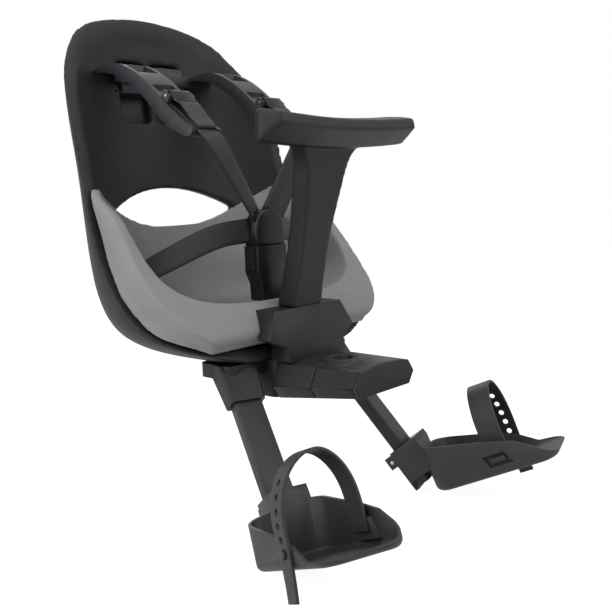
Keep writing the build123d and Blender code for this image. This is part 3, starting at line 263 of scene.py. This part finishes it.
def ease_above(piece, low, high, passes):
    """Eases a skin further from one level up to another, so that its crest comes out fully round."""
    skin = bmesh.new()
    skin.from_mesh(piece.data)
    for step in range(passes):
        level = low + (high - low) * step / passes
        crest = [point for point in skin.verts if point.co.z > level]
        bmesh.ops.smooth_vert(skin, verts=crest, factor=0.5, use_axis_x=True, use_axis_y=True, use_axis_z=True)
    skin.to_mesh(piece.data)
    skin.free()


crest_step = 0.003
crest_depth, crest_fade, crest_end = 0.03, 0.028, 0.2


def crest_of(piece, reach):
    """A piece's highest points across its width: the places, and the height at each."""
    highest = {}
    for point in piece.data.vertices:
        place = round(point.co.x / crest_step) * crest_step
        if abs(place) < reach:
            highest[place] = max(highest.get(place, 0), point.co.z)
    return sorted(highest), [highest[place] for place in sorted(highest)]


def raise_crest(piece, model, reach, lift):
    """Moves the top of a skin to the even arch that best follows its model, fading out below and at the ends."""
    places, heights = crest_of(model, reach)
    arch = numpy.polyfit([(place / reach) ** 2 for place in places], heights, 4)
    places, heights = crest_of(piece, reach)
    for point in piece.data.vertices:
        across = abs(point.co.x) / reach
        if across < 1:
            top = numpy.interp(point.co.x, places, heights)
            near = min(max((point.co.z - top + crest_depth) / crest_fade, 0), 1)
            inside = min((1 - across) / crest_end, 1)
            goal = numpy.polyval(arch, across * across) + lift
            point.co.z += (goal - top) * near * near * (3 - 2 * near) * inside


charcoal = (0.0125, 0.0125, 0.013)
shell_finish = grained("shell_moulding", charcoal, 1.35, 1500.0, 0.56)
shell = moulded_copy("bucket_shell", "seat_shell", 0.0022, 12, "seat")
ease_above(shell, 0.3, 0.35, 40)
raise_crest(shell, nodes["seat_shell"], 0.13, 0.002)
coat(shell, shell_finish)

# The seat pad is a mid-grey slab of closed-cell foam, moulded to line the bucket. It stands proud of the
# rim in a broad lip, and a shallow oval dent marks the place behind the buckle.
foam_finish = grained("pad_foam", (0.165, 0.165, 0.168), 1.25, 900.0, 0.66)
pad = moulded_copy("foam_pad", "seat_pad", 0.0018, 14, "seat")
ease_above(pad, 0.12, 0.145, 24)
rim_heights = (0.0, 0.024, 0.039, 0.064, 0.104, 0.165, 0.222)
rim_places = (0.057, 0.065, 0.091, 0.124, 0.158, 0.194, 0.213)
lip_start, lip_fade, lip_top, lip_rise = 0.01, 0.022, 0.17, 0.11
lip_narrowing, lip_lowering, lip_level = 0.075, 0.1, 0.095
for point in pad.data.vertices:
    ahead = numpy.interp(point.co.z, rim_heights, rim_places) - point.co.y
    share = min(max((ahead + lip_start) / lip_fade, 0), 1) * min(max((lip_top - point.co.z) / lip_rise, 0), 1)
    point.co.x -= point.co.x * lip_narrowing * share
    point.co.z -= (point.co.z - lip_level) * lip_lowering * share
dent_place = Vector((0, 0.195, 0.065))
dent_reach = (0.011, 0.005, 0.02)
dent_depth = 0.0022
for point in pad.data.vertices:
    away = sum(((point.co[i] - dent_place[i]) / dent_reach[i]) ** 2 for i in range(3))
    if away < 4:
        point.co.z -= dent_depth * math.exp(-away)
coat(pad, foam_finish)

# The stem clamp, its cap, the column, the carrier and the leg sockets are glass-filled mouldings in the
# same charcoal, with crisp edges that the mould has broken by a millimetre or so.
sharp_from = math.radians(30)


def dress(names, finish, width):
    """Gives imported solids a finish, and rounded edges by modifiers alone."""
    for name in names:
        node = nodes[name]
        coat(node, finish)
        weld = node.modifiers.new("weld", "WELD")
        weld.merge_threshold = same_point
        edge = node.modifiers.new("edge", "BEVEL")
        edge.width = width
        edge.segments = 2
        edge.limit_method = "ANGLE"
        edge.angle_limit = sharp_from
        edge.harden_normals = True
        for face in node.data.polygons:
            face.use_smooth = True


frame_finish = grained("frame_moulding", (0.011, 0.011, 0.0115), 1.35, 1700.0, 0.5)
dress(["clamp_rear", "clamp_front", "seat_carrier"], frame_finish, 0.0012)
dress(["clamp_cap", "harness_slider"], frame_finish, 0.001)
dress(["reducer_rear", "reducer_front", "leg_plug_left", "leg_plug_right"], frame_finish, 0.0006)
dress(["front_column"], frame_finish, 0.0018)

# The grab handle is one hollow moulding, a post that flares into a curved cross bar. Its edges are well
# rounded all over, because the child leans and holds on there, and its foot is bolted into the column.
grip = moulded_copy("grip_moulding", "grab_handle", 0.0016, 14, "seat")
coat(grip, frame_finish)

# The legs are flat steel tubes with a powder coat, pressed into the carrier's sockets. Each ends in a plastic
# plug, and the footrest's sleeve slides along its flat faces.
coat_finish = grained("leg_powder_coat", (0.02, 0.02, 0.021), 1.25, 2200.0, 0.45)
dress(["leg_tube_left", "leg_tube_right"], coat_finish, 0.0004)

# The foot trays are thin nylon mouldings with a sleeve that slides on the leg. They are a shade paler than
# the frame, as the shoes rub them, and their walls are only broken at the edge.
tray_finish = grained("tray_nylon", (0.026, 0.026, 0.027), 1.3, 1700.0, 0.5)
dress(["foot_tray_left", "foot_tray_right"], tray_finish, 0.0006)

# The foot straps are bands of soft rubber, anchored in the inner wall of each tray and buttoned on a peg
# outside, with a row of holes for the child's shoe size.
rubber_finish = grained("strap_rubber", (0.024, 0.024, 0.025), 1.3, 2000.0, 0.52)
dress(["foot_strap_left", "foot_strap_right"], rubber_finish, 0.0005)

# The shoulder guides are satin mouldings a shade bluer than the shell. Each has two pockets in its top and a
# neck that goes through a window of the backrest to the slider behind it.
guide_finish = grained("guide_satin", (0.018, 0.0195, 0.022), 1.4, 1600.0, 0.42)
dress(["shoulder_guide_left", "shoulder_guide_right"], guide_finish, 0.001)

# Levers, adjusters, buckle and buttons are smooth black mouldings with a low gloss. The levers turn on steel
# pins, and the buttons sit in the sides of the buckle.
gloss_finish = grained("trim_gloss", (0.01, 0.01, 0.0105), 1.3, 1200.0, 0.36)
gloss_pieces = [
    "adjuster_lever_left", "adjuster_lever_right", "buckle_housing", "release_button_left",
    "release_button_right", "foot_lever_left", "foot_lever_right",
]
dress(gloss_pieces, gloss_finish, 0.0009)

# The buckle's tongue is one black moulding with a domed top, which takes in the ends of the shoulder straps.
# It is pushed down into the buckle's housing, and its edges are well rounded.
tongue_edge = (
    (0.0218, 0.1243), (0.022, 0.138), (0.0205, 0.148), (0.0165, 0.1555), (0.0095, 0.1603), (0, 0.1617),
)
tongue_middle, tongue_depth, tongue_rounding = 0.101, 0.019, 0.0032
tongue_mesh = bmesh.new()
tongue_rim = [*tongue_edge, *[(-x, z) for x, z in reversed(tongue_edge[:-1])]]
tongue_face = tongue_mesh.faces.new(
    [tongue_mesh.verts.new((x, tongue_middle - tongue_depth / 2, z)) for x, z in tongue_rim],
)
tongue_back = bmesh.ops.extrude_face_region(tongue_mesh, geom=[tongue_face], use_keep_orig=True)["geom"]
bmesh.ops.translate(
    tongue_mesh, verts=[part for part in tongue_back if isinstance(part, bmesh.types.BMVert)],
    vec=(0, tongue_depth, 0),
)
bmesh.ops.recalc_face_normals(tongue_mesh, faces=tongue_mesh.faces)
tongue_outline = [edge for edge in tongue_mesh.edges if abs(edge.verts[0].co.y - edge.verts[1].co.y) < 1e-6]
bmesh.ops.bevel(
    tongue_mesh, geom=tongue_outline, offset=tongue_rounding, segments=3, profile=0.5, affect="EDGES",
    material=-1,
)
for face in tongue_mesh.faces:
    face.smooth = True
tongue_data = bpy.data.meshes.new("tongue_moulding")
tongue_mesh.to_mesh(tongue_data)
tongue_mesh.free()
tongue_data.materials.append(gloss_finish)
tongue = bpy.data.objects.new("tongue_moulding", tongue_data)
scene.collection.objects.link(tongue)
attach(tongue, "seat")
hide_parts("buckle_tongue")

# Bolts, nuts, screws, pins and the crotch strap's anchor are zinc-plated steel, bright but a little uneven
# in its gloss. Most of them show only as a head or an end.
steel_finish, steel_ink, steel_shader = finish_of("zinc_steel")
steel_place = steel_ink.node("TexCoord", out=3)
steel_streak = steel_ink.node("TexNoise", sockets={"Vector": steel_place, "Scale": 700.0, "Detail": 2.0})
feed(
    steel_ink, steel_shader, Base_Color=(0.42, 0.42, 0.43, 1), Metallic=1.0,
    Roughness=0.28 + steel_streak * 0.2,
)
for name in (
    "clamp_bolts", "clamp_nuts", "handle_bolt", "shell_screws", "column_screws", "slider_screws",
    "adjuster_pin_left", "adjuster_pin_right", "lever_pin_left", "lever_pin_right", "strap_anchor",
):
    coat(nodes[name], steel_finish)

# Two socket screws sit deep in recesses of the backrest. They are coloured near black as painted shade for
# the deep recesses they sit in, so that only a dull ring shows of each.
recess_shade_finish = grained("screw_recess_shade", (0.008, 0.008, 0.008), 1.6, 2600.0, 0.5)
coat(nodes["back_screws"], recess_shade_finish)

# The harness is 25 mm webbing, woven near black with a herringbone rib and a firm edge on each side. Two
# straps come down from the guides, two run to slots in the pad and one comes up between the legs.
web_width = 0.025
web_thickness = 0.0016
web_columns, web_steps = 6, 8
millimetre = 0.001
web_finish, web_ink, web_shader = finish_of("harness_webbing")
weave = web_ink.node("UVMap", {"uv_map": "weave"})
weave_across, weave_along = [
    Ink(web_ink.tree, socket) for socket in
    web_ink.node("SeparateXYZ", sockets={0: weave}).socket.node.outputs[:2]
]
from_middle = web_ink.node("Math", {"operation": "ABSOLUTE"}, {0: weave_across})
rib_slant, rib_turns, thread_turns = 0.8, 3900.0, 6600.0
rib = ((weave_along + from_middle * rib_slant) * rib_turns).sine() * 0.5 + 0.5
thread = (weave_across * thread_turns).sine() * 0.5 + 0.5
cloth = rib * 0.6 + thread * 0.4
edge_band = web_ink.node("MapRange", sockets={0: from_middle, 1: 0.0105, 2: 0.0112, 3: 0.0, 4: 1.0})
web_colour = web_ink.node(
    "Mix", {"data_type": "RGBA"},
    {0: cloth, 6: (0.007, 0.007, 0.008, 1), 7: (0.024, 0.0235, 0.027, 1)}, out=2,
)
web_bump = web_ink.node(
    "Bump", sockets={"Strength": 0.6, "Distance": 0.0004, "Height": cloth + edge_band * 0.5},
)
feed(
    web_ink, web_shader, Base_Color=web_colour, Roughness=0.6 - cloth * 0.15, Normal=web_bump,
    Specular_IOR_Level=0.25,
)


def smooth_line(points, steps):
    """Points along a smooth line through a few given ones."""
    ends = [points[0] * 2 - points[1], *points, points[-1] * 2 - points[-2]]
    line = []
    for span in range(len(points) - 1):
        before, first, last, after = ends[span:span + 4]
        for step in range(steps):
            t = step / steps
            line.append(
                0.5 * (
                    2 * first + (last - before) * t + (2 * before - 5 * first + 4 * last - after) * t * t
                    + (3 * first - before - 3 * last + after) * t * t * t
                )
            )
    return [*line, points[-1]]


def webbing(name, points, lies, node):
    """A strap: a flat grid laid along a smooth line, its width turning from one lie to the next."""
    line = smooth_line([Vector(point) * millimetre for point in points], web_steps)
    lies = smooth_line([Vector(lie) for lie in lies], web_steps)
    strap = bmesh.new()
    grid = bmesh.ops.create_grid(strap, x_segments=web_columns, y_segments=len(line) - 1, size=1)["verts"]
    weave_map = strap.loops.layers.uv.new("weave")
    lengths = [0.0]
    for first, last in zip(line, line[1:]):
        lengths.append(lengths[-1] + (last - first).length)
    laid = {}
    for point in grid:
        row = round((point.co.y + 1) / 2 * (len(line) - 1))
        side = point.co.x
        along = (line[min(row + 1, len(line) - 1)] - line[max(row - 1, 0)]).normalized()
        lie = (lies[row] - along * lies[row].dot(along)).normalized()
        laid[point] = (side * web_width / 2, lengths[row])
        point.co = line[row] + lie * side * web_width / 2
    for face in strap.faces:
        face.smooth = True
        for loop in face.loops:
            loop[weave_map].uv = laid[loop.vert]
    data = bpy.data.meshes.new(name)
    strap.to_mesh(data)
    strap.free()
    data.materials.append(web_finish)
    piece = bpy.data.objects.new(name, data)
    scene.collection.objects.link(piece)
    body_of_cloth = piece.modifiers.new("cloth", "SOLIDIFY")
    body_of_cloth.thickness = web_thickness
    body_of_cloth.offset = 0
    if node:
        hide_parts(node)
    return piece


for side, word in ((1, "left"), (-1, "right")):
    shoulder = webbing(
        f"shoulder_web_{word}",
        [
            (side * 67, 168.5, 284.3), (side * 67, 138, 262), (side * 67, 109.5, 241.2), (side * 62, 101, 229),
            (side * 37, 100, 192), (side * 11.9, 101, 155.9),
        ],
        [
            (1, 0, 0), (1, 0, 0), (1, 0, 0), (1, -side * 0.1, -side * 0.1), (1, -side * 0.35, -side * 0.4),
            (1, -side * 0.6, -side * 0.5),
        ],
        f"shoulder_strap_{word}",
    )
    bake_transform(shoulder)
    tail = webbing(
        f"strap_tail_{word}",
        [
            (side * 67, 141, 273.5), (side * 67, 134, 270), (side * 67, 127, 263), (side * 67, 120, 255.5),
            (side * 67, 113, 249.5), (side * 67, 110.4, 246.8), (side * 67, 111.6, 244.9), (side * 67, 117, 249.8),
        ],
        [(1, 0, 0)] * 8, None,
    )
    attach(tail, "harness")
    hip = webbing(
        f"hip_web_{word}",
        [(side * 21, 101, 141), (side * 58, 118, 135), (side * 98, 151, 112), (side * 132, 179, 90)],
        [(0, 0, 1), (-side * 0.08, 0.08, 1), (-side * 0.3, 0.3, 0.9), (-side * 0.45, 0.4, 0.7)],
        f"hip_strap_{word}",
    )
    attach(hip, "seat")
crotch = webbing(
    "crotch_web", [(0, 101, 8.2), (0, 101, 30), (0, 101, 55), (0, 101, 80)], [(1, 0, 0)] * 4, "crotch_strap",
)
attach(crotch, "seat")
